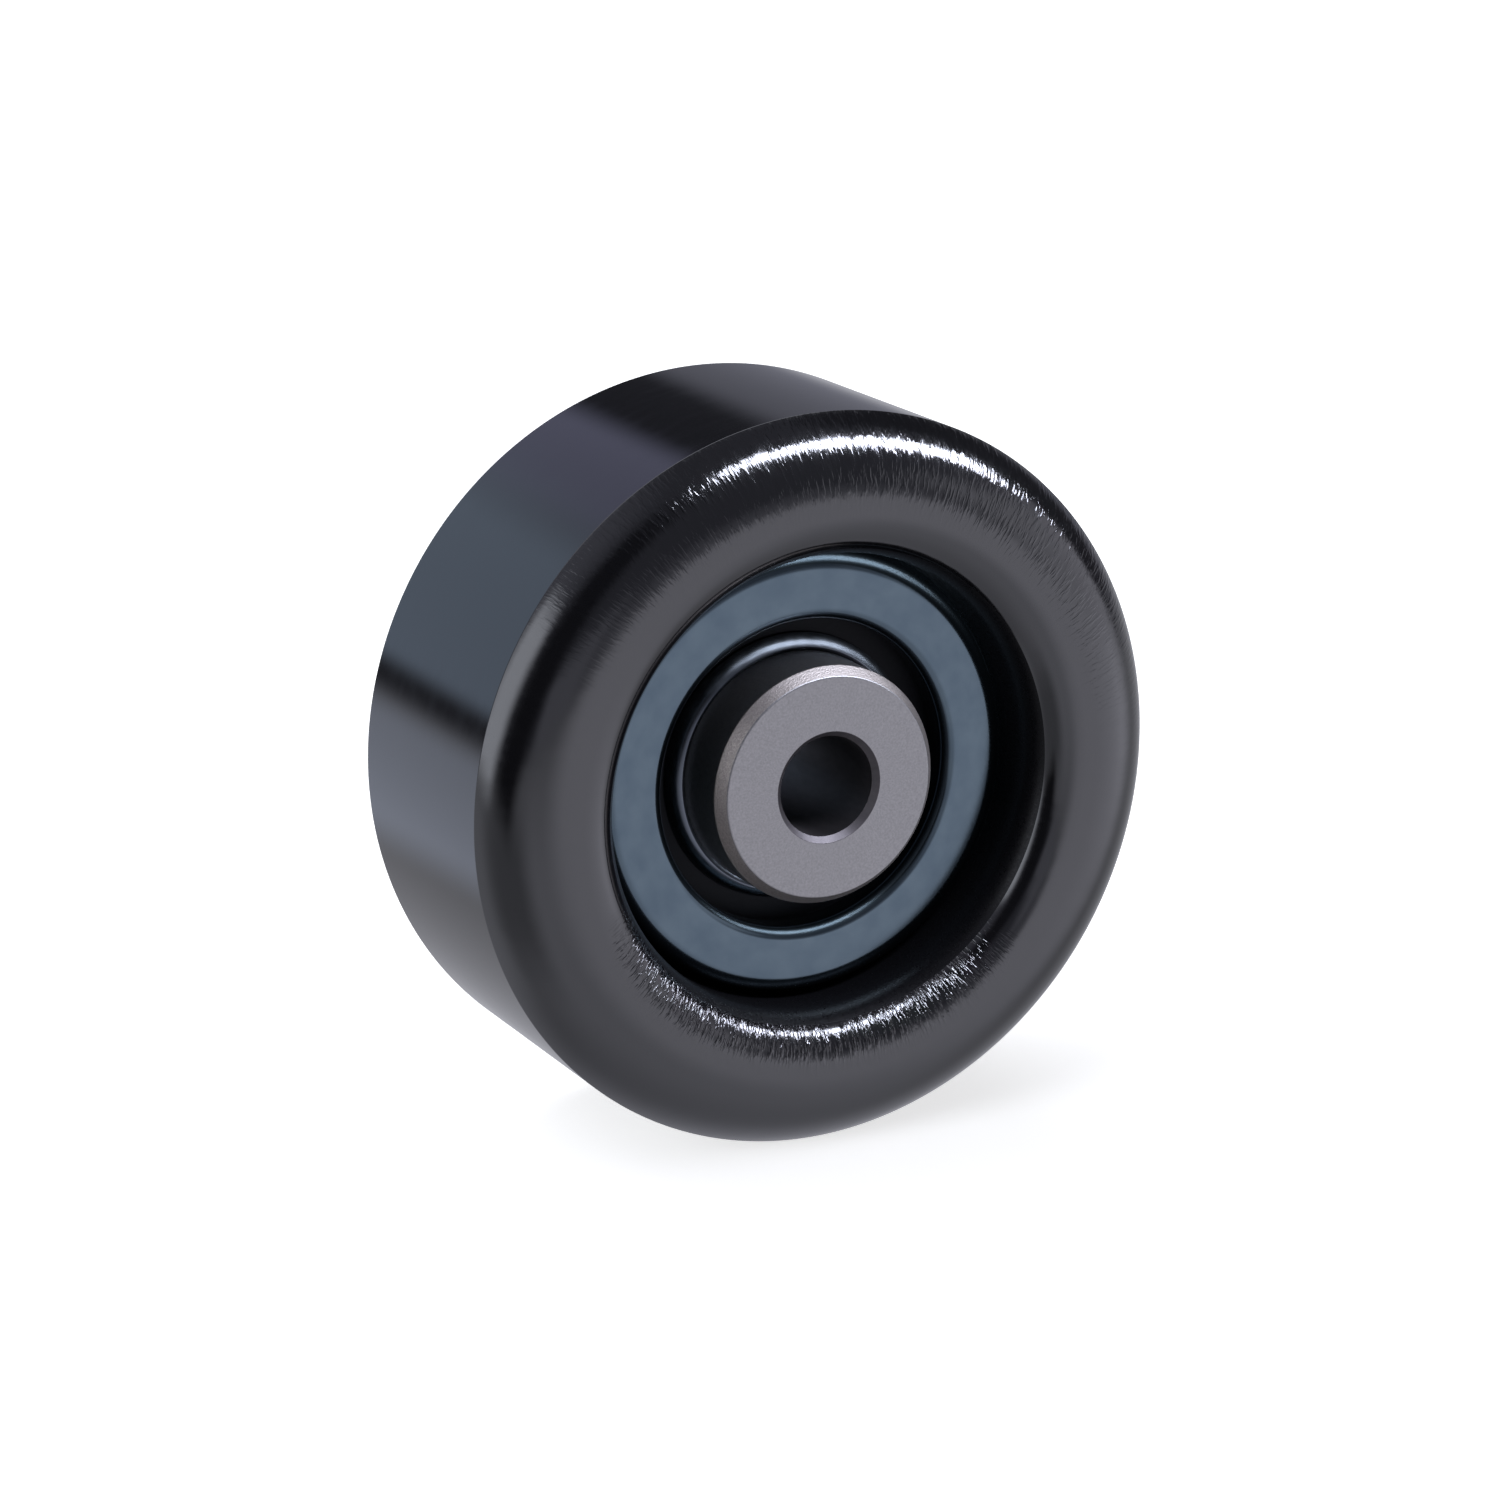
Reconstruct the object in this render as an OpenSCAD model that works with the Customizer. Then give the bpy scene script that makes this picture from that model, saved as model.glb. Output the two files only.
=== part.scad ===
// Flat-faced steel roller on a sealed deep-groove ball bearing.
// A drawn shell turns on the bearing, and a bored axle sleeve carries the bearing's inner ring.
// The axle lies along Y, with the roller's front towards -Y and +Z up.
// The origin is on the axle, at the middle of the running land and of the bearing.
// Profiles are drawn as [radius, forward], where forward is the distance towards the front.

/* [Roller shell] */
// Diameter of the running land
land_d = 70; // [70:0.5:76]
// Width of the running land
land_w = 24.7; // [24.7:0.1:27]
// Wall of the rim
rim_wall = 3.4; // [2.8:0.1:3.6]
// Wall of the hub where the dust caps sit
hub_wall = 2.7; // [2.5:0.1:2.8]
// Radius of the outer round of the crown
nose_r = 8.9; // [8.4:0.1:9.4]
// Angle at which that round leaves the land
nose_angle = 30; // [25:1:32]
// Radius of the round into the front pocket
mouth_r = 4.4; // [4:0.1:4.6]
// Break on the rim's rear edge
edge_break = 0.4; // [0.2:0.1:0.8]

/* [Bearing] */
// Outer diameter of the bearing
bearing_d = 40; // [40:0.1:40.2]
// Bore of the bearing
bearing_bore = 17; // [16.8:0.1:17]
// Width of the bearing
bearing_w = 12; // [12:0.1:12.2]
// Diameter of a ball
ball_d = 6.747; // [6.5:0.001:6.75]
// Running clearance between a ball and its races
ball_gap = 0.03; // [0.02:0.01:0.05]
// Running clearance between a seal lip and the inner ring
lip_gap = 0.05; // [0.04:0.01:0.1]

/* [Dust caps] */
// Thickness of the cap's sheet
cap_sheet = 0.8; // [0.6:0.1:0.8]
// Outer diameter of the cap's crown, inside its flange
cap_crown_d = 42.9; // [42.4:0.1:43.2]
// Radius of the round between the cap's flat ring and its flange
cap_edge_r = 1.9; // [1.6:0.1:2]
// Diameter of the hole in the cap
cap_hole_d = 29.7; // [29:0.1:30]
// Radius of the round between the cap's flat ring and its hole
cap_hole_r = 1.25; // [1:0.05:1.4]
// Depth of the cap from its flat ring to the foot of its flange
cap_h = 3; // [2.9:0.1:3.1]
// Distance of the front cap's flat ring in front of the origin
front_cap_at = 10; // [9.9:0.1:10.2]
// Distance of the rear cap's flat ring behind the origin
rear_cap_at = 11.9; // [11.8:0.1:12]

/* [Slingers] */
// Outer diameter of a slinger
slinger_d = 25.7; // [25:0.1:27]
// Radius of the slinger's domed face
slinger_dome_r = 1.75; // [1.6:0.05:1.9]
// Depth of the centre of that dome below the cap's flat ring
slinger_dome_at = 4.14; // [4.1:0.01:4.3]

/* [Axle sleeve] */
// Bore through the sleeve
bore_d = 9.6; // [8.4:0.1:10.2]
// Diameter of the sleeve's head and of the rear collar
head_d = 22.8; // [22:0.1:22.8]
// Distance of the sleeve's front face from the origin
front_reach = 14.2; // [13:0.1:16]
// Distance of the sleeve's rear face from the origin
rear_reach = 14; // [13:0.1:18]
// Width of the chamfer on the head and collar, across their faces
head_chamfer = 0.85; // [0.3:0.05:1]
// Length of that chamfer along the axle
head_chamfer_h = 1.1; // [0.3:0.1:1.4]
// Chamfer at each mouth of the bore
bore_chamfer = 0.55; // [0.3:0.05:0.8]

/* [Hidden] */
$fn = 96;
arc_steps = 14;
ball_count = 8;
ball_names = [for (i = [1:ball_count]) str("ball_", i)];

// Shell
land_r = land_d / 2;
half_land = land_w / 2;
nose_centre = [land_r - nose_r * cos(nose_angle), half_land - nose_r * sin(nose_angle)];
crest_at = nose_centre[1] + nose_r;
pocket_r = bearing_d / 2 + 1.9;
mouth_centre = [pocket_r + mouth_r, crest_at - mouth_r];
rim_inner_r = land_r - rim_wall;
hub_outer_r = pocket_r + hub_wall;
hollow_r = (rim_inner_r - hub_outer_r) / 2;
crown_wall = 3.4;
hollow_centre = [hub_outer_r + hollow_r, crest_at - crown_wall - hollow_r];
hub_end_at = -rear_cap_at - 0.1;
front_pocket_at = front_cap_at - cap_h;
rear_pocket_at = cap_h - rear_cap_at;

// Bearing
bearing_r = bearing_d / 2;
half_bearing = bearing_w / 2;
race_bore_r = bearing_bore / 2;
pitch_r = (bearing_d + bearing_bore) / 4;
ball_r = ball_d / 2;
race_r = ball_r + ball_gap;
race_lip = 2;
inner_lip_r = pitch_r - race_lip;
outer_lip_r = pitch_r + race_lip;
race_angle = acos(race_lip / race_r);
ring_chamfer = 0.6;
stop_r = bearing_r - 1.8;

// Seals
seal_r = outer_lip_r + 0.75;
seal_face_at = half_bearing - 0.3;
seal_ledge_at = half_bearing - 1.1;
plate_back_at = half_bearing - 1;
plate_front_at = half_bearing - 0.7;
plate_in_r = inner_lip_r + 0.95;
plate_out_r = outer_lip_r + 0.05;

// Cage
cage_sheet = 0.8;
cage_pocket_r = ball_r + 0.085;
cage_in_r = pitch_r - 1.25;
cage_out_r = pitch_r + 1.25;
rivet_r = 0.55;
rivet_head_r = 1;
rivet_head_h = 0.4;

// Snap ring and its groove
snap_t = 1.75;
snap_groove_w = 1.85;
snap_groove_r = bearing_r + 1.25;
snap_out_r = bearing_r + 1.15;
snap_in_r = bearing_r - 2;
snap_gap_angle = 22;
lug_r = 2.1;
lug_hole_r = 1;
lug_at_r = bearing_r - 2.5;

// Axle sleeve
bore_r = bore_d / 2;
head_r = head_d / 2;
shank_chamfer = 0.4;

// Points of an arc around centre, from angle a0 to a1
function arc(centre, r, a0, a1, steps = arc_steps) =
    [for (i = [0:steps]) let (a = a0 + (a1 - a0) * i / steps) centre + r * [cos(a), sin(a)]];

// Angle of ball number i around the axle
function ball_angle(i) = (i - 1) * 360 / ball_count;

// Turns a [radius, forward] profile about the axle
module turned(profile) {
    rotate([90, 0, 0]) rotate_extrude() polygon(profile);
}

// Turns the far side of a profile, so that a piece made for the front sits at the rear
module turned_rear(profile) {
    mirror([0, 1, 0]) turned(profile);
}

// Places children on the ball circle, at the ball positions or half a step on
module on_pitch_circle(half_step = 0) {
    for (i = [1:ball_count])
        rotate([0, ball_angle(i + half_step), 0]) translate([pitch_r, 0, 0]) children();
}

// Drawn steel shell: rim, rounded crown and hub in one piece, open at the back
module roller_shell() {
    color("#1b1c1f") turned(concat(
        [[rim_inner_r, -half_land], [land_r - edge_break, -half_land], [land_r, edge_break - half_land]],
        arc(nose_centre, nose_r, nose_angle, 90),
        arc(mouth_centre, mouth_r, 90, 180),
        [[pocket_r, front_pocket_at], [stop_r, front_pocket_at]],
        [[stop_r, half_bearing], [bearing_r, half_bearing]],
        [[bearing_r, -half_bearing], [snap_groove_r, -half_bearing]],
        [[snap_groove_r, -half_bearing - snap_groove_w], [bearing_r, -half_bearing - snap_groove_w]],
        [[bearing_r, rear_pocket_at], [pocket_r, rear_pocket_at]],
        [[pocket_r, hub_end_at], [hub_outer_r, hub_end_at]],
        arc(hollow_centre, hollow_r, 180, 0)));
}

// Spring ring with two lugs, which holds the bearing against the shell's front stop
module snap_ring() {
    color("#3c3d40") translate([0, half_bearing + snap_t, 0]) rotate([90, 0, 0])
        linear_extrude(snap_t) difference() {
            union() {
                difference() {
                    circle(snap_out_r);
                    circle(snap_in_r);
                    polygon([[0, 0], for (s = [-1, 1]) bearing_d * [s * sin(snap_gap_angle / 2), -1]]);
                }
                snap_lugs(lug_r);
            }
            snap_lugs(lug_hole_r);
        }
}

// One disc at each end of the snap ring
module snap_lugs(r) {
    for (s = [-1, 1])
        rotate(s * (snap_gap_angle / 2 + asin(lug_r / lug_at_r))) translate([0, -lug_at_r]) circle(r);
}

// Profile of a pressed dust cap whose flat ring lies at forward = at
function cap_profile(at) =
    let (
        crown_r = cap_crown_d / 2,
        hole_r = cap_hole_d / 2,
        edge_c = [crown_r - cap_edge_r, -cap_edge_r],
        hole_c = [hole_r + cap_hole_r, -cap_hole_r],
        hem_end = -cap_h - 0.3)
    [for (p = concat(
        [[crown_r - cap_sheet, -cap_h], [pocket_r, -cap_h], [pocket_r, cap_sheet - cap_h - 0.2]],
        arc(edge_c, cap_edge_r, 15, 90),
        arc(hole_c, cap_hole_r, 90, 180),
        [[hole_r, hem_end], [hole_r + cap_sheet, hem_end]],
        arc(hole_c, cap_hole_r - cap_sheet, 180, 90, 6),
        arc(edge_c, cap_edge_r - cap_sheet, 90, 0, 8)))
    p + [0, at]];

module front_dust_cap() {
    color("#566070") turned(cap_profile(front_cap_at));
}

module rear_dust_cap() {
    color("#566070") turned_rear(cap_profile(rear_cap_at));
}

module bearing_outer_ring() {
    color("#a9abb0") turned(concat(
        [[seal_r, -half_bearing], [bearing_r - ring_chamfer, -half_bearing]],
        [[bearing_r, ring_chamfer - half_bearing], [bearing_r, half_bearing - ring_chamfer]],
        [[bearing_r - ring_chamfer, half_bearing], [seal_r, half_bearing]],
        [[seal_r, seal_ledge_at], [outer_lip_r, seal_ledge_at]],
        arc([pitch_r, 0], race_r, race_angle, -race_angle),
        [[outer_lip_r, -seal_ledge_at], [seal_r, -seal_ledge_at]]));
}

module bearing_inner_ring() {
    color("#a9abb0") turned(concat(
        [[race_bore_r, half_bearing - ring_chamfer], [race_bore_r, ring_chamfer - half_bearing]],
        [[race_bore_r + ring_chamfer, -half_bearing], [inner_lip_r, -half_bearing]],
        arc([pitch_r, 0], race_r, 180 + race_angle, 180 - race_angle),
        [[inner_lip_r, half_bearing], [race_bore_r + ring_chamfer, half_bearing]]));
}

// Rubber seal, moulded round the outside of its steel plate
seal_profile = [
    [inner_lip_r + lip_gap, plate_back_at], [plate_in_r, plate_back_at], [plate_in_r, plate_front_at],
    [plate_out_r, plate_front_at], [plate_out_r, seal_ledge_at], [seal_r, seal_ledge_at],
    [seal_r, seal_face_at], [plate_in_r - 0.3, seal_face_at], [inner_lip_r + lip_gap, plate_front_at]];

module front_seal() {
    color("#2a2522") turned(seal_profile);
}

module rear_seal() {
    color("#2a2522") turned_rear(seal_profile);
}

// Steel plate that stiffens a seal
plate_profile = [
    [plate_in_r, plate_back_at], [plate_out_r, plate_back_at],
    [plate_out_r, plate_front_at], [plate_in_r, plate_front_at]];

module front_seal_plate() {
    color("#8d8f93") turned(plate_profile);
}

module rear_seal_plate() {
    color("#8d8f93") turned_rear(plate_profile);
}

// Pressed cage half in front of the ball circle, with one round pocket for each ball
module cage_half() {
    pocket_out_r = cage_pocket_r + cage_sheet - 0.1;
    difference() {
        intersection() {
            turned([[cage_in_r, 0], [cage_out_r, 0], [cage_out_r, half_bearing], [cage_in_r, half_bearing]]);
            union() {
                turned([[1, 0], [bearing_r, 0], [bearing_r, cage_sheet], [1, cage_sheet]]);
                on_pitch_circle() sphere(pocket_out_r);
            }
        }
        on_pitch_circle() sphere(cage_pocket_r);
        on_pitch_circle(0.5) rotate([90, 0, 0]) cylinder(h = 3 * cage_sheet, r = rivet_r, center = true);
    }
}

module front_cage_half() {
    color("#9c9da0") cage_half();
}

module rear_cage_half() {
    color("#9c9da0") rotate([0, 0, 180]) cage_half();
}

// Rivets that hold the cage halves together, between the balls
module cage_rivets() {
    color("#b5b3ae") on_pitch_circle(0.5) rotate([90, 0, 0]) {
        cylinder(h = 2 * cage_sheet, r = rivet_r, center = true);
        for (s = [-1, 1])
            translate([0, 0, s * (cage_sheet + rivet_head_h / 2)])
                cylinder(h = rivet_head_h, r = rivet_head_r, center = true);
    }
}

module ball(i) {
    color("#c9cbcf") rotate([0, ball_angle(i), 0]) translate([pitch_r, 0, 0]) sphere(ball_r);
}

// Profile of the domed slinger that goes with a cap whose flat ring lies at forward = at
function slinger_profile(at) =
    let (dome_c = [head_r - 0.3, at - slinger_dome_at])
    concat(
        [[head_r, half_bearing], [slinger_d / 2, half_bearing]],
        arc(dome_c, slinger_dome_r, 10, 68),
        [[head_r, dome_c[1] + slinger_dome_r - 0.4]]);

// Rings on the sleeve and collar that fling water off and cover the seals' lips
module front_slinger() {
    color("#566070") turned(slinger_profile(front_cap_at));
}

module rear_slinger() {
    color("#566070") turned_rear(slinger_profile(rear_cap_at));
}

// Bored sleeve: its head stands in the front pocket and its shank runs through the bearing
module axle_sleeve() {
    color("#87838a") turned([
        [bore_r, bore_chamfer - rear_reach], [bore_r + bore_chamfer, -rear_reach],
        [race_bore_r - shank_chamfer, -rear_reach], [race_bore_r, shank_chamfer - rear_reach],
        [race_bore_r, half_bearing], [head_r, half_bearing],
        [head_r, front_reach - head_chamfer_h], [head_r - head_chamfer, front_reach],
        [bore_r + bore_chamfer, front_reach], [bore_r, front_reach - bore_chamfer]]);
}

// Collar pressed on the shank's end, which clamps the inner ring and stands proud of the rim
module rear_collar() {
    color("#87838a") turned([
        [race_bore_r, -half_bearing], [race_bore_r, -rear_reach],
        [head_r - head_chamfer, -rear_reach], [head_r, head_chamfer_h - rear_reach],
        [head_r, -half_bearing]]);
}

roller_shell();
snap_ring();
front_dust_cap();
rear_dust_cap();
bearing_outer_ring();
front_seal();
rear_seal();
front_seal_plate();
rear_seal_plate();
bearing_inner_ring();
axle_sleeve();
rear_collar();
front_slinger();
rear_slinger();
front_cage_half();
rear_cage_half();
cage_rivets();
for (i = [1:ball_count]) ball(i);
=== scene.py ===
# %% [markdown]
# # A flat-faced steel roller on a sealed ball bearing
# The roller is a drawn steel shell, black coated and glossy, that turns on a sealed ball bearing. A blued
# steel dust cap closes the bearing, and a grey sleeve with a bolt bore carries it. Nearly all of it is turned
# or drawn round one axle, so this lesson builds the parts that show as lathe meshes and puts the work into
# edges, coatings and light.

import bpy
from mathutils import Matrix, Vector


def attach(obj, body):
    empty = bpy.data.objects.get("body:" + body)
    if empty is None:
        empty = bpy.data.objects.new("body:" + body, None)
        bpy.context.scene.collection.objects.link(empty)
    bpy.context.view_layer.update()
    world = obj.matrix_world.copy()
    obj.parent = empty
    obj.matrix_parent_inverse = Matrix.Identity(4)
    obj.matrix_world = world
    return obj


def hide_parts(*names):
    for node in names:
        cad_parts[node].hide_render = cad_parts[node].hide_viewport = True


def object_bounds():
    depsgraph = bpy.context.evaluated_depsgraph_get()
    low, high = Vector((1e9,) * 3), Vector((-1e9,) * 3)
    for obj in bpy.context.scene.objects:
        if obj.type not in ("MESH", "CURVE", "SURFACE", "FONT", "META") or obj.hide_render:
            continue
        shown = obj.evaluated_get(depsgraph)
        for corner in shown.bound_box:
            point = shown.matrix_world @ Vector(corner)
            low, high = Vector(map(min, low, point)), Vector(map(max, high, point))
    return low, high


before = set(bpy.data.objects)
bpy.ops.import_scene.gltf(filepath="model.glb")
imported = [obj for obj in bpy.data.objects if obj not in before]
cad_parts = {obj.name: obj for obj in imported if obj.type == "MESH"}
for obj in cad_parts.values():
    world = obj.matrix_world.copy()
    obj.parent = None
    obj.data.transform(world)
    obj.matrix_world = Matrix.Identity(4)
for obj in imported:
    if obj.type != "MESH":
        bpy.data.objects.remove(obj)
solid_low, solid_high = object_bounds()
print("solid model, mm:", [round(1000 * v, 2) for v in solid_high - solid_low])

# %% Tools of this lesson
import math

import bpy
import numpy as np
from mathutils import Matrix, Vector

scene = bpy.context.scene
MM = 0.001
print("Blender", bpy.app.version_string)

# %% [markdown]
# ## The camera
# The roller stands on its running face, and its axle lies level along Y. The camera looks down on it a little
# from the left with a long lens, as for a catalogue picture. It could be aimed by hand, but a heading, a
# height angle and a distance are easier to read and to change, so three directions are worked out from those
# two angles.

# %% Directions from a heading and a height angle
def aim(heading, height):
    """Unit vectors outward, right and up. The heading is from the front, in degrees, with right positive."""
    h = math.radians(heading)
    e = math.radians(height)
    outward = Vector((math.sin(h) * math.cos(e), -math.cos(h) * math.cos(e), math.sin(e)))
    right = Vector((math.cos(h), math.sin(h), 0))
    return outward, right, outward.cross(right)


print("straight to the front:", [round(v, 3) for v in aim(0, 0)[0]])

# %% Camera
# Angles are in degrees and the focal length is in millimetres.
VIEW_HEADING = -27.58
VIEW_HEIGHT = 16.57
VIEW_ROLL = -0.196
VIEW_DISTANCE = 412.83 * MM
VIEW_TARGET = Vector((-1.086, -0.516, 0.198)) * MM
FOCAL_LENGTH = 104.57

back, right, up = aim(VIEW_HEADING, VIEW_HEIGHT)
roll = math.radians(VIEW_ROLL)
axis_x = right * math.cos(roll) + up * math.sin(roll)
axis_y = up * math.cos(roll) - right * math.sin(roll)
camera = bpy.data.objects.new("camera", bpy.data.cameras.new("camera"))
scene.collection.objects.link(camera)
camera.data.sensor_width = 36
camera.data.lens = FOCAL_LENGTH
camera.data.clip_start = 0.02
turn = Matrix((axis_x, axis_y, back)).transposed().to_4x4()
camera.matrix_world = Matrix.Translation(VIEW_TARGET + VIEW_DISTANCE * back) @ turn
scene.camera = camera
print("camera at, m:", [round(v, 3) for v in camera.location])

# %% [markdown]
# ## Adding nodes
# Finishes and light are both built from nodes. One small function adds a node, gives it its settings, and
# fills each input with either a value or a link from another node, so that a recipe reads from top to bottom.
# A socket is picked by its name, or by its number where several share one name. Colours are written as sRGB
# hex values, as they are picked on a screen, and one function turns them to the linear values that shaders
# use.

# %% One function for nodes and one for colours
def add(tree, kind, inputs=None, output=0, **settings):
    """Adds a node and returns one output. inputs maps a socket's name or number to a value or to a link."""
    made = tree.nodes.new(kind)
    for name, value in settings.items():
        setattr(made, name, value)
    for socket, value in (inputs or {}).items():
        if isinstance(value, bpy.types.NodeSocket):
            tree.links.new(value, made.inputs[socket])
        else:
            made.inputs[socket].default_value = value
    return made.outputs[output] if len(made.outputs) else made


def linear(hex_colour, level=1.0):
    """Linear RGBA of an sRGB hex colour, times a level that may be above one for light."""
    screen = [int(hex_colour[i:i + 2], 16) / 255 for i in (1, 3, 5)]
    light = [c / 12.92 if c <= 0.04045 else ((c + 0.055) / 1.055) ** 2.4 for c in screen]
    return tuple(level * c for c in light) + (1.0,)


print("mid grey is", round(linear("#808080")[0], 3), "in linear light")

# %% [markdown]
# ## The studio as a light map
# A glossy black part shows little colour of its own: what the eye reads is the room in its surface. So the
# room matters more than the lamps. It could be built from real walls and cards, but a world shader that lays
# soft-edged cards over each other by direction gives the same reflections with far less to place. One branch
# holds the pale table and one holds the room. A soft horizon joins them, and the last cards lie over both.
# The camera itself sees plain white.

# %% One soft-edged card in the light map
scene.world = bpy.data.worlds.new("studio")
scene.world.use_nodes = True
sky = scene.world.node_tree
sky.nodes.clear()
looking = add(sky, "ShaderNodeTexCoord")


def card(under, heading, height, wide, high, soft, colour, level, lean=0):
    """Lays a card over the colour so far. Its place, size, soft edge and lean are in degrees."""
    middle, side, top = aim(heading, height)
    t = math.radians(lean)
    leaned_side = side * math.cos(t) - top * math.sin(t)
    leaned_top = top * math.cos(t) + side * math.sin(t)
    edges = []
    for direction, size in ((leaned_side, wide), (leaned_top, high)):
        across, along = [
            add(sky, "ShaderNodeVectorMath", {0: looking, 1: axis}, "Value", operation="DOT_PRODUCT")
            for axis in (direction, middle)
        ]
        offset = add(sky, "ShaderNodeMath", {0: across, 1: along}, operation="ARCTAN2")
        offset = add(sky, "ShaderNodeMath", {0: offset}, operation="ABSOLUTE")
        inner = math.radians((size - soft) / 2)
        outer = math.radians((size + soft) / 2)
        fall = {"Value": offset, "From Min": inner, "From Max": outer, "To Min": 1.0, "To Max": 0.0}
        edges.append(add(sky, "ShaderNodeMapRange", fall, interpolation_type="SMOOTHSTEP"))
    mask = add(sky, "ShaderNodeMath", {0: edges[0], 1: edges[1]}, operation="MULTIPLY")
    return add(sky, "ShaderNodeMix", {0: mask, 6: under, 7: linear(colour, level)}, 2, data_type="RGBA")


def stack(under, cards):
    """Lays a list of cards over the colour so far, the first one lowest."""
    for values in cards:
        under = card(under, *values)
    return under


print("light map ready for cards")

# %% Cards of the table, the room and the studio round them
# Each card gives its heading and height angle, its width and height and its soft edge in degrees, then its
# colour and level and, where it has one, its lean.
table_cards = [
    (0, -90, 76, 76, 60, "#f0f1ff", 0.92),  # straight below
    (2, -34, 120, 60, 50, "#f0f1ff", 1.62),  # in front
    (42, -14, 84, 30, 30, "#f1f1ff", 2.35),  # brightest, far out on the right
    (-108, -28, 60, 60, 30, "#f0f2ff", 1.5),  # on the left
    (-55, -28, 40, 36, 24, "#f0f2ff", 0.72),  # a dimmer patch at the front left
    (-157, -15, 44, 18, 6, "#e2eaff", 1.2),  # behind on the left
]
room_cards = [
    (-98, 50, 60, 44, 30, "#e8eaff", 0.85),  # high on the left
    (-17, 3, 32, 18, 12, "#ecedff", 1.0),  # low in front, a little left
    (14, 0, 40, 14, 12, "#ecedff", 0.75),  # low in front, a little right
    (64, 4, 48, 26, 14, "#f1f1ff", 1.65),  # low on the right
    (99, 33, 30, 66, 10, "#f4f2ff", 0.06),  # a dark card on the right
    (127, 22, 16, 26, 8, "#f4f4ff", 0.7),  # behind on the right
    (178, 27, 24, 18, 8, "#d6d8ff", 0.66),  # straight behind
    (-160, 12, 44, 28, 8, "#c8dbf6", 1.08),  # behind on the left, a little blue
    (163.5, 24, 13, 14, 6, "#e8eaff", 0.05),  # a small dark card, behind on the right
]
studio_cards = [
    (-168, 60, 70, 36, 16, "#f0f2ff", 2.4),  # the fill, high behind
    (-152, -2, 80, 4.5, 4, "#e8eaff", 0.1),  # a thin dark band on the horizon, behind on the left
    (-42, 19, 25, 74, 14, "#f2f0ff", 0.05, 31),  # a dark card at the front left, leaning
    (-79, 17, 24, 44, 12, "#eff3ff", 4.6, 20),  # the bright window on the left, leaning
]
print("cards:", len(table_cards) + len(room_cards) + len(studio_cards))

# %% The light map and what the camera sees
# Height angles between which the table turns into the room, in degrees.
HORIZON = (-8, 2)

table = stack(linear("#f4f5ff", 0.56), table_cards)
room = stack(linear("#e8eaff", 0.32), room_cards)
upward = add(sky, "ShaderNodeSeparateXYZ", {0: looking}, 2)
low_edge, high_edge = [math.sin(math.radians(angle)) for angle in HORIZON]
rise = {"Value": upward, "From Min": low_edge, "From Max": high_edge}
horizon = add(sky, "ShaderNodeMapRange", rise, interpolation_type="SMOOTHSTEP")
studio = add(sky, "ShaderNodeMix", {0: horizon, 6: table, 7: room}, 2, data_type="RGBA")
studio = stack(studio, studio_cards)
seen = add(sky, "ShaderNodeLightPath", output="Is Camera Ray")
studio = add(sky, "ShaderNodeMix", {0: seen, 6: studio, 7: (1, 1, 1, 1)}, 2, data_type="RGBA")
studio = add(sky, "ShaderNodeBackground", {"Color": studio})
add(sky, "ShaderNodeOutputWorld", {"Surface": studio})
print("light map nodes:", len(sky.nodes))

# %% [markdown]
# ## Lamps
# One long softbox, high on the right and tilted, makes the white arcs on the crown and the cap. An area lamp
# does this best, because its edges stay crisp in a glossy coat and Cycles samples it well. Brightness is
# given as radiance, the value that a mirror would show, and turned to watts. Light linking keeps it off the
# table, which has light of its own. The front cap and slinger lie deep in the hub and would get little of it,
# so a twin lamp at the same place lights them alone, and nothing shades them from it.

# %% Softboxes
def softbox(name, heading, height, tilt, distance, wide, high, radiance, colour):
    """A rectangular lamp that faces the origin, turned by tilt in its own plane, with its size in metres."""
    outward, right, up = aim(heading, height)
    t = math.radians(tilt)
    long_side = right * math.cos(t) + up * math.sin(t)
    short_side = up * math.cos(t) - right * math.sin(t)
    data = bpy.data.lights.new(name, "AREA")
    data.shape = "RECTANGLE"
    data.size = wide
    data.size_y = high
    data.energy = radiance * math.pi * wide * high
    data.color = linear(colour)[:3]
    lamp = bpy.data.objects.new(name, data)
    scene.collection.objects.link(lamp)
    facing = Matrix((long_side, short_side, outward)).transposed().to_4x4()
    lamp.matrix_world = Matrix.Translation(outward * distance) @ facing
    lamp.visible_camera = False
    return lamp


# Angles in degrees and the distance from the origin in metres.
LAMP_PLACE = {"heading": 51, "height": 48, "tilt": -40, "distance": 0.7}

key = softbox("key_softbox", **LAMP_PLACE, wide=0.76, high=0.11, radiance=60, colour="#e7ecff")
cap_key = softbox("cap_softbox", **LAMP_PLACE, wide=0.9, high=0.12, radiance=80, colour="#eef4ff")
print("key lamp, W:", round(key.data.energy, 1))

# %% [markdown]
# ## The table
# The roller stands on a white acrylic table that is lit from below, so it shows as white with a faint shadow
# where the roller touches it. It is there for the camera and to take that shadow. The light map already
# holds its light and its reflection, so mirror, diffuse and shadow rays skip it.

# %% Backlit table
# Distance of the table's edges from the roller, in metres.
TABLE_REACH = 4

table_mesh = bpy.data.meshes.new("table_top")
signs = ((-1, -1), (1, -1), (1, 1), (-1, 1))
table_corners = [(TABLE_REACH * x, TABLE_REACH * y, solid_low.z) for x, y in signs]
table_mesh.from_pydata(table_corners, [], [(0, 1, 2, 3)])
table_top = bpy.data.objects.new("table_top", table_mesh)
scene.collection.objects.link(table_top)
table_top.visible_glossy = False
table_top.visible_diffuse = False
table_top.visible_shadow = False
print("table at, mm:", round(1000 * solid_low.z, 2))

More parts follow.
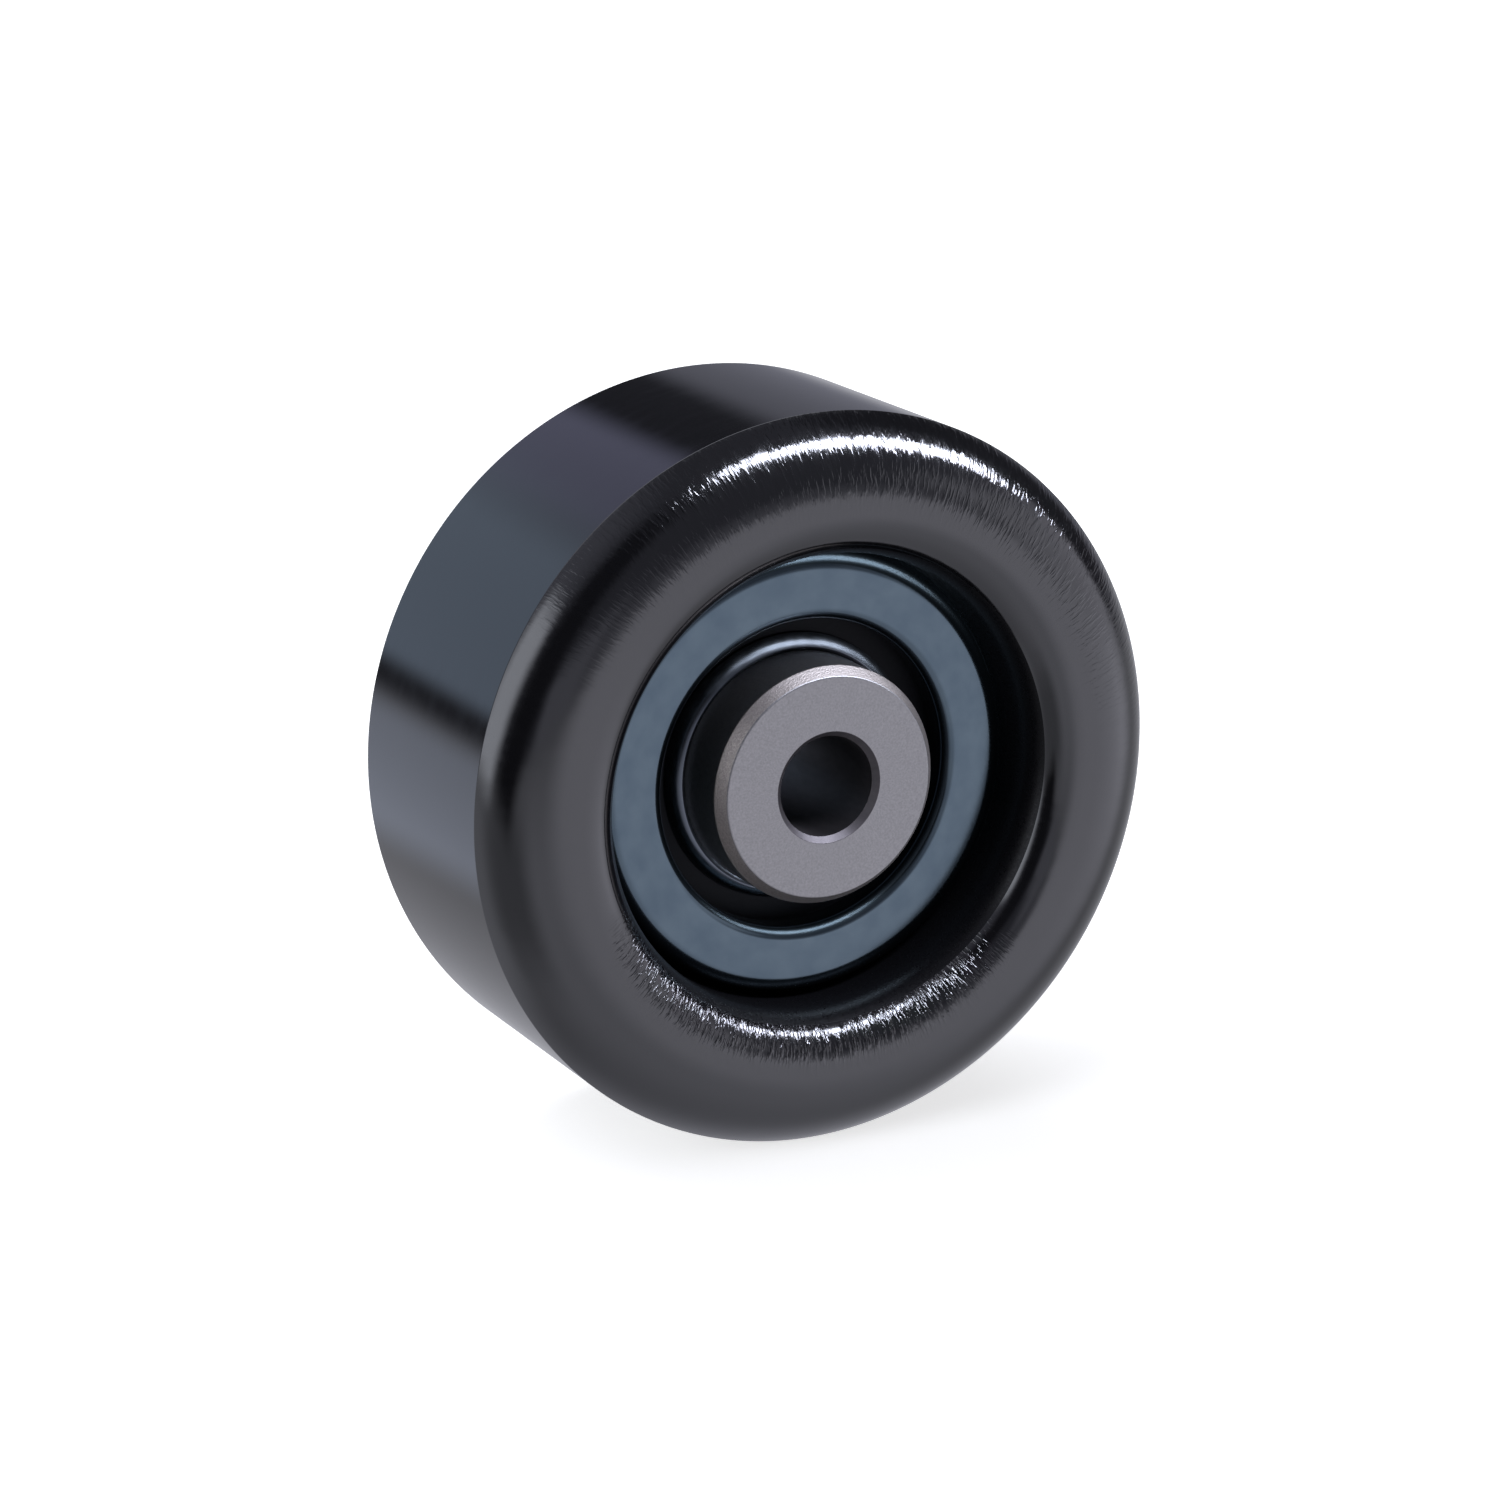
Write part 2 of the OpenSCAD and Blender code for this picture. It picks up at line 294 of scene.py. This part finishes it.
# %% What each lamp lights
unlit = bpy.data.collections.new("not_lit_by_key")
unlit.objects.link(table_top)
recessed = bpy.data.collections.new("lit_by_cap_key")
shading = bpy.data.collections.new("shades_from_cap_key")
shading.objects.link(table_top)
key.light_linking.receiver_collection = unlit
cap_key.light_linking.receiver_collection = recessed
cap_key.light_linking.blocker_collection = shading
print("light groups:", [group.name for group in (unlit, recessed, shading)])

# %% Acrylic of the table
acrylic = bpy.data.materials.new("white_backlit_acrylic")
acrylic.use_nodes = True
shader = acrylic.node_tree.nodes["Principled BSDF"]
shader.inputs["Base Color"].default_value = linear("#f3f2ea")
shader.inputs["Roughness"].default_value = 0.9
shader.inputs["Specular IOR Level"].default_value = 0.0
shader.inputs["Emission Color"].default_value = (1, 1, 1, 1)
shader.inputs["Emission Strength"].default_value = 0.68
table_mesh.materials.append(acrylic)
scene.view_settings.view_transform = "Standard"
print("table finish:", acrylic.name)

# %% [markdown]
# ## Turning a profile
# Every visible part is round about the axle, so a part is drawn as half a cross-section, a list of corners as
# radius and distance forward, and turned. A Screw modifier could do it, but a mesh made in code can also
# carry exact normals and a map for textures. Each corner gets a small round, because real edges catch light.
# The map, called turned, holds the place round the axle and the distance along the profile in millimetres, so
# a pattern can be stretched along the drawing direction or round the part.

# %% Rounded corners and arcs
def arc(middle_radius, middle_forward, size, start, end, zone, steps=20):
    """Corners along an arc of the profile, from one angle to another, which need no further rounding."""
    turns = [math.radians(start + (end - start) * i / steps) for i in range(steps + 1)]
    return [(middle_radius + size * math.cos(t), middle_forward + size * math.sin(t), 0, zone) for t in turns]


def rounded(corners, steps=5):
    """Path, normals and zones of a closed profile of (radius, forward, round, zone) corners in mm."""
    places = np.array([corner[:2] for corner in corners], float)
    path, normals, zones = [], [], []
    for i, (_, _, size, zone) in enumerate(corners):
        before = places[i] - places[i - 1]
        after = places[(i + 1) % len(places)] - places[i]
        first = math.atan2(-before[0], before[1])
        bend = math.remainder(math.atan2(-after[0], after[1]) - first, 2 * math.pi)
        if size == 0:
            path.append(places[i])
            normals.append(first + bend / 2)
            zones.append(zone)
            continue
        side = math.copysign(size, bend)
        start = places[i] - before / np.hypot(*before) * size * math.tan(abs(bend) / 2)
        middle = start - side * np.array([math.cos(first), math.sin(first)])
        for t in np.linspace(0, 1, steps + 1):
            angle = first + bend * t
            path.append(middle + side * np.array([math.cos(angle), math.sin(angle)]))
            normals.append(angle)
            zones.append(zone)
    angles = np.array(normals)
    return np.array(path), np.stack([np.cos(angles), np.sin(angles)], 1), zones


square = [(2, 0, 1, "side"), (4, 0, 1, "side"), (4, 2, 1, "side"), (2, 2, 1, "side")]
print("a square with rounds has", len(rounded(square)[0]), "points")

# %% Lathe
# Faces round the axle.
AROUND = 512


def lathe(name, corners, finishes, spread):
    """Turns a profile about the axle. finishes maps zones to materials; spread is the map's radius in mm."""
    path, slopes, zones = rounded(corners)
    turn = np.linspace(0, 2 * np.pi, AROUND, endpoint=False)
    cos, sin = np.cos(turn)[None, :], np.sin(turn)[None, :]
    flat = np.ones_like(cos)
    points = np.stack([path[:, :1] * cos, -path[:, 1:] * flat, path[:, :1] * sin], 2).reshape(-1, 3) * MM
    normals = np.stack([slopes[:, :1] * cos, -slopes[:, 1:] * flat, slopes[:, :1] * sin], 2).reshape(-1, 3)
    steps = np.hypot(*np.diff(path, axis=0, append=path[:1]).T)
    along = (np.cumsum(steps) - steps)[:, None]
    full = np.ones_like(along)
    turned = np.stack([spread * full * cos, spread * full * sin, along * flat], 2).reshape(-1, 3)
    i, k = np.meshgrid(np.arange(len(path)), np.arange(AROUND), indexing="ij")
    j, m = (i + 1) % len(path), (k + 1) % AROUND
    quads = np.stack([i * AROUND + k, i * AROUND + m, j * AROUND + m, j * AROUND + k], 2).reshape(-1, 4)
    mesh = bpy.data.meshes.new(name)
    mesh.from_pydata(points.tolist(), [], quads.tolist())
    mesh.shade_smooth()
    mesh.normals_split_custom_set_from_vertices(normals.tolist())
    mesh.attributes.new("turned", "FLOAT_VECTOR", "POINT").data.foreach_set("vector", turned.ravel())
    order = list(finishes)
    for zone in order:
        mesh.materials.append(finishes[zone])
    slots = np.repeat([order.index(zone) for zone in zones], AROUND)
    mesh.polygons.foreach_set("material_index", slots.astype(np.int32))
    piece = bpy.data.objects.new(name, mesh)
    scene.collection.objects.link(piece)
    print(name, "faces:", len(mesh.polygons))
    return piece


def faced(corners, facing, forward=0):
    """A profile moved forward and, where facing is -1, turned to the rear."""
    return [(radius, facing * (at + forward), size, zone) for radius, at, size, zone in corners][::facing]


# %% Sizes that several profiles share, in millimetres
LAND_RADIUS = round((solid_high.x - solid_low.x) / 2 / MM, 2)
CREST = round(-solid_low.y / MM, 2)
REAR_END = round(solid_high.y / MM, 2)
BEARING_RADIUS = 20.0
BEARING_HALF = 6.0
POCKET_RADIUS = 21.9
HEAD_RADIUS = 11.4
FRONT_CAP = 10.0
REAR_CAP = 11.9
CAP_DEPTH = 3.0
print("running land, crest and rear end, mm:", LAND_RADIUS, CREST, REAR_END)

# %% [markdown]
# ## Base of every finish
# A finish starts from one physical shader with the typical values of its material, and its own pattern is
# added after that.

# %% Starting a finish
def finish(name, colour, metallic, roughness):
    """A material with its shader's plain values set. Returns the material, its node tree and the shader."""
    material = bpy.data.materials.new(name)
    material.use_nodes = True
    shader = material.node_tree.nodes["Principled BSDF"]
    shader.inputs["Base Color"].default_value = linear(colour)
    shader.inputs["Metallic"].default_value = metallic
    shader.inputs["Roughness"].default_value = roughness
    return material, material.node_tree, shader


def grain(tree, place, sizes, detail=2.0):
    """Noise whose features have the given sizes in millimetres along the three axes of place."""
    scaled = add(tree, "ShaderNodeVectorMath", {0: place, 1: [1 / s for s in sizes]}, operation="MULTIPLY")
    return add(tree, "ShaderNodeTexNoise", {"Vector": scaled, "Scale": 1.0, "Detail": detail}, "Fac")


def bumped(tree, shader, height, depth):
    """Links a 0 to 1 height to the shader as a bump, depth being its full height in millimetres."""
    normal = add(tree, "ShaderNodeBump", {"Height": height, "Distance": depth * MM, "Strength": 1.0})
    tree.links.new(normal, shader.inputs["Normal"])


# A noise keeps nearly all of its values between these two.
NOISE_RANGE = {"From Min": 0.3, "From Max": 0.7}
print("finish tools ready")

# %% [markdown]
# ## Black coat on drawn steel
# The shell is pressed from sheet. Where it was bent hardest the steel has stretched, and the thin glossy coat
# over it shows short strokes that run in from the rim. The coat itself is a plastic film with an IOR of 1.5.
# The strokes are 0.3 mm wide and over 1 mm long, far too fine to model, so they are a bump. How hard the
# sheet was drawn at each point is in the mesh, as strain, and the rest of the coat only swells a little.

# %% Coat on the drawn crown
coat_drawn, tree, shader = finish("black_coat_on_drawn_steel", "#050506", metallic=0.0, roughness=0.1)
place = add(tree, "ShaderNodeAttribute", output="Vector", attribute_name="turned")
strain = add(tree, "ShaderNodeAttribute", output="Fac", attribute_name="strain")
strokes = grain(tree, place, (0.3, 0.3, 1.6))
crisp = {"Value": strokes, "From Min": 0.42, "From Max": 0.68}
strokes = add(tree, "ShaderNodeMapRange", crisp, interpolation_type="SMOOTHSTEP")
strokes = add(tree, "ShaderNodeMath", {0: strokes, 1: strain}, operation="MULTIPLY")
swell = grain(tree, place, (1.6, 1.6, 2.4), detail=0.0)
relief = add(tree, "ShaderNodeMath", {0: swell, 1: 0.2, 2: strokes}, operation="MULTIPLY_ADD")
bumped(tree, shader, relief, depth=0.06)
gloss = grain(tree, place, (0.6, 0.6, 1.5))
gloss = add(tree, "ShaderNodeMapRange", {"Value": gloss, **NOISE_RANGE, "To Min": 0.08, "To Max": 0.13})
gloss = add(tree, "ShaderNodeMath", {0: strain, 1: 0.03, 2: gloss}, operation="MULTIPLY_ADD")
tree.links.new(gloss, shader.inputs["Roughness"])
print(coat_drawn.name, "nodes:", len(tree.nodes))

# %% [markdown]
# ## Black coat on the turned land
# The running face was turned true before coating, so it is flat and its reflections stay straight. The tool's
# ridges are about 0.1 mm apart and the coat half fills them: they only soften the reflection.

# %% Coat on the turned land
coat_turned, tree, shader = finish("black_coat_on_turned_land", "#050506", metallic=0.0, roughness=0.1)
place = add(tree, "ShaderNodeAttribute", output="Vector", attribute_name="turned")
ridges = grain(tree, place, (12, 12, 0.12))
bumped(tree, shader, ridges, depth=0.0006)
gloss = grain(tree, place, (3, 3, 1.2))
gloss = add(tree, "ShaderNodeMapRange", {"Value": gloss, **NOISE_RANGE, "To Min": 0.08, "To Max": 0.12})
tree.links.new(gloss, shader.inputs["Roughness"])
print(coat_turned.name, "nodes:", len(tree.nodes))

# %% [markdown]
# ## Black coat inside the shell
# Inside the hollow the spray arrives at a slant and dries rougher, like fine orange peel of about 0.45 mm.

# %% Coat in the hollow
coat_inside, tree, shader = finish("black_coat_inside", "#08080a", metallic=0.0, roughness=0.3)
place = add(tree, "ShaderNodeAttribute", output="Vector", attribute_name="turned")
bumped(tree, shader, grain(tree, place, (0.45, 0.45, 0.45)), depth=0.01)
print(coat_inside.name, "nodes:", len(tree.nodes))

# %% [markdown]
# ## Painted shade on the coat in the recess
# Deep in the hub the coat's specular level is cut to 0.1, which takes nearly all of its shine: a painted
# shade that darkens the recess. Its grains are drawn 0.3 mm wide, as finer ones would not show.

# %% Coat in the recess
coat_recess_painted_shade, tree, shader = finish("black_coat_painted_shade_in_recess", "#060607", metallic=0.0, roughness=0.3)
place = add(tree, "ShaderNodeAttribute", output="Vector", attribute_name="turned")
dust = grain(tree, place, (0.3, 0.3, 0.3), detail=3.0)
bumped(tree, shader, dust, depth=0.004)
dust = add(tree, "ShaderNodeMapRange", {"Value": dust, **NOISE_RANGE, "To Min": 0.25, "To Max": 0.4})
tree.links.new(dust, shader.inputs["Roughness"])
# The low specular level is the painted shade of the recess.
shader.inputs["Specular IOR Level"].default_value = 0.1
print(coat_recess_painted_shade.name, "nodes:", len(tree.nodes))

# %% [markdown]
# ## Blued pressed steel
# The dust caps are thin steel, blued in hot salts. The film of oxide is dark blue and reflects far less than
# bare steel. It is a metal, so its base colour is the colour of its reflection.

# %% Blued cap
blued, tree, shader = finish("blued_pressed_steel", "#3e484f", metallic=1.0, roughness=0.17)
place = add(tree, "ShaderNodeAttribute", output="Vector", attribute_name="turned")
cloud = grain(tree, place, (2.5, 2.5, 2.0), detail=3.0)
cloud = add(tree, "ShaderNodeMapRange", {"Value": cloud, **NOISE_RANGE, "To Min": 0.0, "To Max": 1.0})
tone = {0: cloud, 6: linear("#3b454c"), 7: linear("#424c52")}
tone = add(tree, "ShaderNodeMix", tone, 2, data_type="RGBA")
tree.links.new(tone, shader.inputs["Base Color"])
bumped(tree, shader, grain(tree, place, (0.35, 0.35, 0.35)), depth=0.0015)
print(blued.name, "nodes:", len(tree.nodes))

# %% [markdown]
# ## Grey sintered steel
# The sleeve and the collar are pressed from powder and sintered, which leaves fine pores. They scatter light,
# so the face is an even warm grey with no mirror. Real pores are about 0.1 mm wide, and they are drawn at
# 0.2 mm, as finer ones would not show.

# %% Sleeve faces
sintered, tree, shader = finish("grey_sintered_steel", "#6c6b6b", metallic=1.0, roughness=0.42)
place = add(tree, "ShaderNodeAttribute", output="Vector", attribute_name="turned")
pores = grain(tree, place, (0.2, 0.2, 0.2), detail=4.0)
shade = add(tree, "ShaderNodeMapRange", {"Value": pores, **NOISE_RANGE, "To Min": 0.0, "To Max": 1.0})
tone = {0: shade, 6: linear("#666565"), 7: linear("#727171")}
tone = add(tree, "ShaderNodeMix", tone, 2, data_type="RGBA")
tree.links.new(tone, shader.inputs["Base Color"])
bumped(tree, shader, pores, depth=0.003)
print(sintered.name, "nodes:", len(tree.nodes))

# %% [markdown]
# ## Chamfers of the sleeve
# The chamfers were cut after sintering, so they are brighter, a little brown, and gritty where pores tore
# open.

# %% Cut chamfers
cut, tree, shader = finish("cut_sintered_steel", "#807b77", metallic=1.0, roughness=0.45)
place = add(tree, "ShaderNodeAttribute", output="Vector", attribute_name="turned")
grit = grain(tree, place, (0.15, 0.15, 0.15), detail=3.0)
bumped(tree, shader, grit, depth=0.03)
tone = {0: grit, 6: linear("#6a6562"), 7: linear("#96908b")}
tone = add(tree, "ShaderNodeMix", tone, 2, data_type="RGBA")
tree.links.new(tone, shader.inputs["Base Color"])
print(cut.name, "nodes:", len(tree.nodes))

# %% [markdown]
# ## Painted shade in the bore
# The bore is coloured a darker grey than the sleeve's faces, a painted shade, so little light leaves it.

# %% Bore of the sleeve
# The darker grey, in both its tones, is painted shade inside the bore.
bore_painted_shade, tree, shader = finish("sintered_bore_painted_shade", "#474546", metallic=1.0, roughness=0.5)
place = add(tree, "ShaderNodeAttribute", output="Vector", attribute_name="turned")
film = grain(tree, place, (1.5, 1.5, 3))
tone = {0: film, 6: linear("#3a3839"), 7: linear("#504d4e")}
tone = add(tree, "ShaderNodeMix", tone, 2, data_type="RGBA")
tree.links.new(tone, shader.inputs["Base Color"])
bumped(tree, shader, grain(tree, place, (0.2, 0.2, 0.2)), depth=0.003)
print(bore_painted_shade.name, "nodes:", len(tree.nodes))

# %% [markdown]
# ## The shell
# One drawn piece: rim, rounded crown and hub, open at the back. The crown meets the running land at a crisp
# corner, which shows as a thin line of light, so that corner has a very small round. In the hub are the
# front pocket, the bearing's seat with a shoulder before it and a groove for the snap ring behind it, and the
# rear pocket.

# %% Roller shell
# Sizes in millimetres and the angle at which the crown leaves the land in degrees.
LAND_HALF = 12.35
EDGE_BREAK = 0.4
RIM_INSIDE = 31.6
HUB_RADIUS = 24.6
HUB_END = -12.0
CROWN_WALL = 3.4
NOSE_ROUND = 8.9
NOSE_ANGLE = 30
MOUTH_ROUND = 4.4
SHOULDER_RADIUS = 18.2
GROOVE_RADIUS = 21.25
GROOVE_END = -7.85
FRONT_POCKET = FRONT_CAP - CAP_DEPTH
REAR_POCKET = CAP_DEPTH - REAR_CAP

nose_radius = LAND_RADIUS - NOSE_ROUND * math.cos(math.radians(NOSE_ANGLE))
hollow_round = (RIM_INSIDE - HUB_RADIUS) / 2
hollow_at = CREST - CROWN_WALL - hollow_round
shell_profile = [
    (RIM_INSIDE, -LAND_HALF, 0.3, "inside"), (LAND_RADIUS - EDGE_BREAK, -LAND_HALF, 0.15, "turned"),
    (LAND_RADIUS, EDGE_BREAK - LAND_HALF, 0.2, "turned"), (LAND_RADIUS, LAND_HALF, 0.16, "drawn"),
    *arc(nose_radius, CREST - NOSE_ROUND, NOSE_ROUND, NOSE_ANGLE, 90, "drawn", 30)[1:],
    *arc(POCKET_RADIUS + MOUTH_ROUND, CREST - MOUTH_ROUND, MOUTH_ROUND, 90, 141, "drawn", 17),
    *arc(POCKET_RADIUS + MOUTH_ROUND, CREST - MOUTH_ROUND, MOUTH_ROUND, 144, 180, "recess", 12),
    (POCKET_RADIUS, FRONT_POCKET, 0.3, "recess"), (SHOULDER_RADIUS, FRONT_POCKET, 0.2, "inside"),
    (SHOULDER_RADIUS, BEARING_HALF, 0.1, "inside"), (BEARING_RADIUS, BEARING_HALF, 0.0, "inside"),
    (BEARING_RADIUS, -BEARING_HALF, 0.0, "inside"), (GROOVE_RADIUS, -BEARING_HALF, 0.1, "inside"),
    (GROOVE_RADIUS, GROOVE_END, 0.1, "inside"), (BEARING_RADIUS, GROOVE_END, 0.1, "inside"),
    (BEARING_RADIUS, REAR_POCKET, 0.1, "inside"), (POCKET_RADIUS, REAR_POCKET, 0.2, "inside"),
    (POCKET_RADIUS, HUB_END, 0.3, "drawn"), (HUB_RADIUS, HUB_END, 0.4, "inside"),
    *arc(HUB_RADIUS + hollow_round, hollow_at, hollow_round, 180, 0, "inside"),
]
coats = {"drawn": coat_drawn, "turned": coat_turned, "inside": coat_inside, "recess": coat_recess_painted_shade}
shell = lathe("shell_coated", shell_profile, coats, 28)
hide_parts("roller_shell")
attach(shell, "roller")

# %% How hard the sheet was drawn
# The mouth's strokes fill its lower side, grow from MOUTH_EDGE inwards and stay in the front half. The
# shoulder's are weaker and fade out towards the lower left.
MOUTH_EDGE = 26.6
MOUTH_FADE = 1.3
SHOULDER_EDGE = 25.5
SHOULDER_FADE = 2.5

co = np.zeros(3 * len(shell.data.vertices))
shell.data.vertices.foreach_get("co", co)
x, y, z = co.reshape(-1, 3).T / MM
radius = np.hypot(x, z)
below = np.clip(3.2 * (-0.2 * x - z) / radius - 1.6, 0, 1) * (y < 0)
above = np.clip((0.35 * x + z) / radius - 0.1, 0, 1)
mouth = 1.2 * below * np.clip((MOUTH_EDGE - radius) / MOUTH_FADE, 0, 1)
shoulder = 0.35 * above * np.clip((radius - SHOULDER_EDGE) / SHOULDER_FADE, 0, 1)
strain = shell.data.attributes.new("strain", "FLOAT", "POINT")
strain.data.foreach_set("value", np.maximum(mouth, shoulder))
print("hard drawn share:", round(float((mouth > 0.5).mean()), 2))

# %% [markdown]
# ## The dust caps
# Each cap is one pressing in the shape of a hat: a flange that grips the pocket, a rounded crown, and a flat
# ring that turns down into the hole round the sleeve. The rear one is the same pressing the other way round.

# %% Front and rear dust caps
# Sizes in millimetres.
SHEET = 0.8
FLANGE = 0.6
CROWN_RADIUS = 21.45
CROWN_ROUND = 1.9
HOLE_RADIUS = 14.85
HOLE_ROUND = 1.25
HEM_DEPTH = 3.3


def cap_profile():
    """The cap's profile, facing forward, with its flat ring at a distance forward of zero."""
    crown = (CROWN_RADIUS - CROWN_ROUND, -CROWN_ROUND)
    hole = (HOLE_RADIUS + HOLE_ROUND, -HOLE_ROUND)
    return [
        (CROWN_RADIUS - SHEET, -CAP_DEPTH, 0.1, "cap"), (POCKET_RADIUS, -CAP_DEPTH, 0.1, "cap"),
        (POCKET_RADIUS, FLANGE - CAP_DEPTH, 0.15, "cap"),
        *arc(*crown, CROWN_ROUND, 15, 90, "cap"),
        *arc(*hole, HOLE_ROUND, 90, 180, "cap"),
        (HOLE_RADIUS, -HEM_DEPTH, 0.2, "cap"), (HOLE_RADIUS + SHEET, -HEM_DEPTH, 0.2, "cap"),
        *arc(*hole, HOLE_ROUND - SHEET, 180, 90, "cap", 6),
        *arc(*crown, CROWN_ROUND - SHEET, 90, 0, "cap", 8),
    ]


for name, node, at, facing in (
        ("cap_front", "front_dust_cap", FRONT_CAP, 1), ("cap_rear", "rear_dust_cap", REAR_CAP, -1)):
    cap = lathe(name, faced(cap_profile(), facing, at), {"cap": blued}, 17)
    if facing == 1:
        recessed.objects.link(cap)
        unlit.objects.link(cap)
    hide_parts(node)
    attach(cap, "roller")

# %% [markdown]
# ## The slingers
# A slinger is a domed ring on the sleeve that covers the seal's lip and flings water off. It is turned, which
# leaves it duller, and then blued like the cap. The gap between it and the cap looks black.

# %% Blued slinger
blued_turned, tree, shader = finish("blued_turned_steel", "#4c5056", metallic=1.0, roughness=0.22)
place = add(tree, "ShaderNodeAttribute", output="Vector", attribute_name="turned")
bumped(tree, shader, grain(tree, place, (4, 4, 0.1)), depth=0.002)
gloss = grain(tree, place, (1.2, 1.2, 0.6))
gloss = add(tree, "ShaderNodeMapRange", {"Value": gloss, **NOISE_RANGE, "To Min": 0.2, "To Max": 0.26})
tree.links.new(gloss, shader.inputs["Roughness"])
print(blued_turned.name, "nodes:", len(tree.nodes))

# %% Front and rear slingers
# Sizes in millimetres.
SLINGER_RADIUS = 12.85
DOME_ROUND = 1.75
DOME_BELOW_CAP = 4.14
DOME_REACH = 1.35

for name, node, cap_at, facing in (
        ("slinger_front", "front_slinger", FRONT_CAP, 1), ("slinger_rear", "rear_slinger", REAR_CAP, -1)):
    dome = cap_at - DOME_BELOW_CAP
    corners = [
        (HEAD_RADIUS, BEARING_HALF, 0.05, "slinger"), (SLINGER_RADIUS, BEARING_HALF, 0.05, "slinger"),
        *arc(SLINGER_RADIUS - DOME_ROUND, dome, DOME_ROUND, 10, 68, "slinger"),
        (HEAD_RADIUS, dome + DOME_REACH, 0.05, "slinger"),
    ]
    slinger = lathe(name, faced(corners, facing), {"slinger": blued_turned}, 12)
    if facing == 1:
        recessed.objects.link(slinger)
        unlit.objects.link(slinger)
    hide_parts(node)
    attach(slinger, "axle")

# %% What the key leaves out
for member in unlit.collection_objects:
    member.light_linking.link_state = "EXCLUDE"

# %% [markdown]
# ## The sleeve and its collar
# The sleeve's head stands out of the dust cap, and a bolt through its bore holds the roller. Its faces are
# as sintered and its chamfers are cut, but for the bore's front mouth, which takes the bore's painted shade.
# The collar is pressed on the sleeve's rear end and has the same chamfer as the head.

# %% Axle sleeve and rear collar
# Sizes in millimetres.
BORE_RADIUS = 4.8
BORE_CHAMFER = 0.55
SHANK_RADIUS = 8.5
SHANK_CHAMFER = 0.4
HEAD_CHAMFER = 0.85
HEAD_CHAMFER_LENGTH = 1.1
SLEEVE_FRONT = 14.2

sleeve_profile = [
    (BORE_RADIUS, BORE_CHAMFER - REAR_END, 0.08, "cut"),
    (BORE_RADIUS + BORE_CHAMFER, -REAR_END, 0.08, "face"),
    (SHANK_RADIUS - SHANK_CHAMFER, -REAR_END, 0.08, "cut"),
    (SHANK_RADIUS, SHANK_CHAMFER - REAR_END, 0.08, "face"),
    (SHANK_RADIUS, BEARING_HALF, 0.1, "face"),
    (HEAD_RADIUS, BEARING_HALF, 0.1, "face"),
    (HEAD_RADIUS, SLEEVE_FRONT - HEAD_CHAMFER_LENGTH, 0.25, "cut"),
    (HEAD_RADIUS - HEAD_CHAMFER, SLEEVE_FRONT, 0.25, "face"),
    # The bore and the chamfer at its front mouth take the bore's painted shade.
    (BORE_RADIUS + BORE_CHAMFER, SLEEVE_FRONT, 0.08, "bore"),
    (BORE_RADIUS, SLEEVE_FRONT - BORE_CHAMFER, 0.08, "bore"),
]
collar_profile = [
    (SHANK_RADIUS, -BEARING_HALF, 0.1, "face"),
    (SHANK_RADIUS, -REAR_END, 0.1, "face"),
    (HEAD_RADIUS - HEAD_CHAMFER, -REAR_END, 0.25, "cut"),
    (HEAD_RADIUS, HEAD_CHAMFER_LENGTH - REAR_END, 0.25, "face"),
    (HEAD_RADIUS, -BEARING_HALF, 0.1, "face"),
]
for name, node, profile in (
        ("sleeve_bored", "axle_sleeve", sleeve_profile), ("collar_pressed", "rear_collar", collar_profile)):
    part = lathe(name, profile, {"face": sintered, "cut": cut, "bore": bore_painted_shade}, 9)
    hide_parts(node)
    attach(part, "axle")

# %% [markdown]
# ## Inside the bearing
# The balls, rings, cage, seals and snap ring are closed in and hardly show, but they are part of the model.
# Their shapes are right in the solid model, so they stay, and each gets the finish of its real material:
# ground rings, lapped balls, a pressed cage, moulded rubber on steel plates, and spring steel.

# %% Finishes of the hidden pieces
def toned(name, dark, light, metallic, roughness, sizes, depth):
    """A finish whose colour and bump both follow one grain of the piece, its sizes and depth in mm."""
    material, tree, shader = finish(name, dark, metallic, roughness)
    place = add(tree, "ShaderNodeTexCoord", output="Object")
    pattern = grain(tree, place, [size * MM for size in sizes])
    tone = {0: pattern, 6: linear(dark), 7: linear(light)}
    tone = add(tree, "ShaderNodeMix", tone, 2, data_type="RGBA")
    tree.links.new(tone, shader.inputs["Base Color"])
    bumped(tree, shader, pattern, depth)
    return material


ground_rings = toned("ground_bearing_steel", "#b9bbbf", "#d2d4d7", 1.0, 0.18, (1.5, 0.06, 1.5), 0.0008)
lapped_balls = toned("lapped_ball_steel", "#cfd1d5", "#d8dadd", 1.0, 0.05, (0.8, 0.8, 0.8), 0.0001)
pressed_cage = toned("pressed_cage_steel", "#a3a4a6", "#b8b8b9", 1.0, 0.32, (0.5, 0.5, 0.5), 0.002)
seal_rubber_and_painted_shade = toned("moulded_nitrile_rubber_painted_shade", "#08090b", "#0d0e11", 0.0, 0.55, (0.2, 0.2, 0.2), 0.004)
seal_plates = toned("rolled_plate_steel", "#8f9093", "#a5a6a9", 1.0, 0.3, (0.1, 2, 2), 0.001)
spring_steel = toned("phosphated_spring_steel", "#3a3a3c", "#4a4a4c", 0.6, 0.45, (0.12, 0.12, 0.12), 0.003)

# The seals show through the dark gap round the slinger. Their low specular level is painted shade there.
seal_rubber_and_painted_shade.node_tree.nodes["Principled BSDF"].inputs["Specular IOR Level"].default_value = 0.08

# %% Finishes put on the hidden pieces
worn_by = {
    ground_rings: ["bearing_outer_ring", "bearing_inner_ring"],
    lapped_balls: [f"ball_{i}" for i in range(1, 9)],
    pressed_cage: ["front_cage_half", "rear_cage_half", "cage_rivets"],
    seal_rubber_and_painted_shade: ["front_seal", "rear_seal"],
    seal_plates: ["front_seal_plate", "rear_seal_plate"],
    spring_steel: ["snap_ring"],
}
for material, names in worn_by.items():
    for name in names:
        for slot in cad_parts[name].material_slots:
            slot.material = material
    print(material.name, "on", len(names), "pieces")
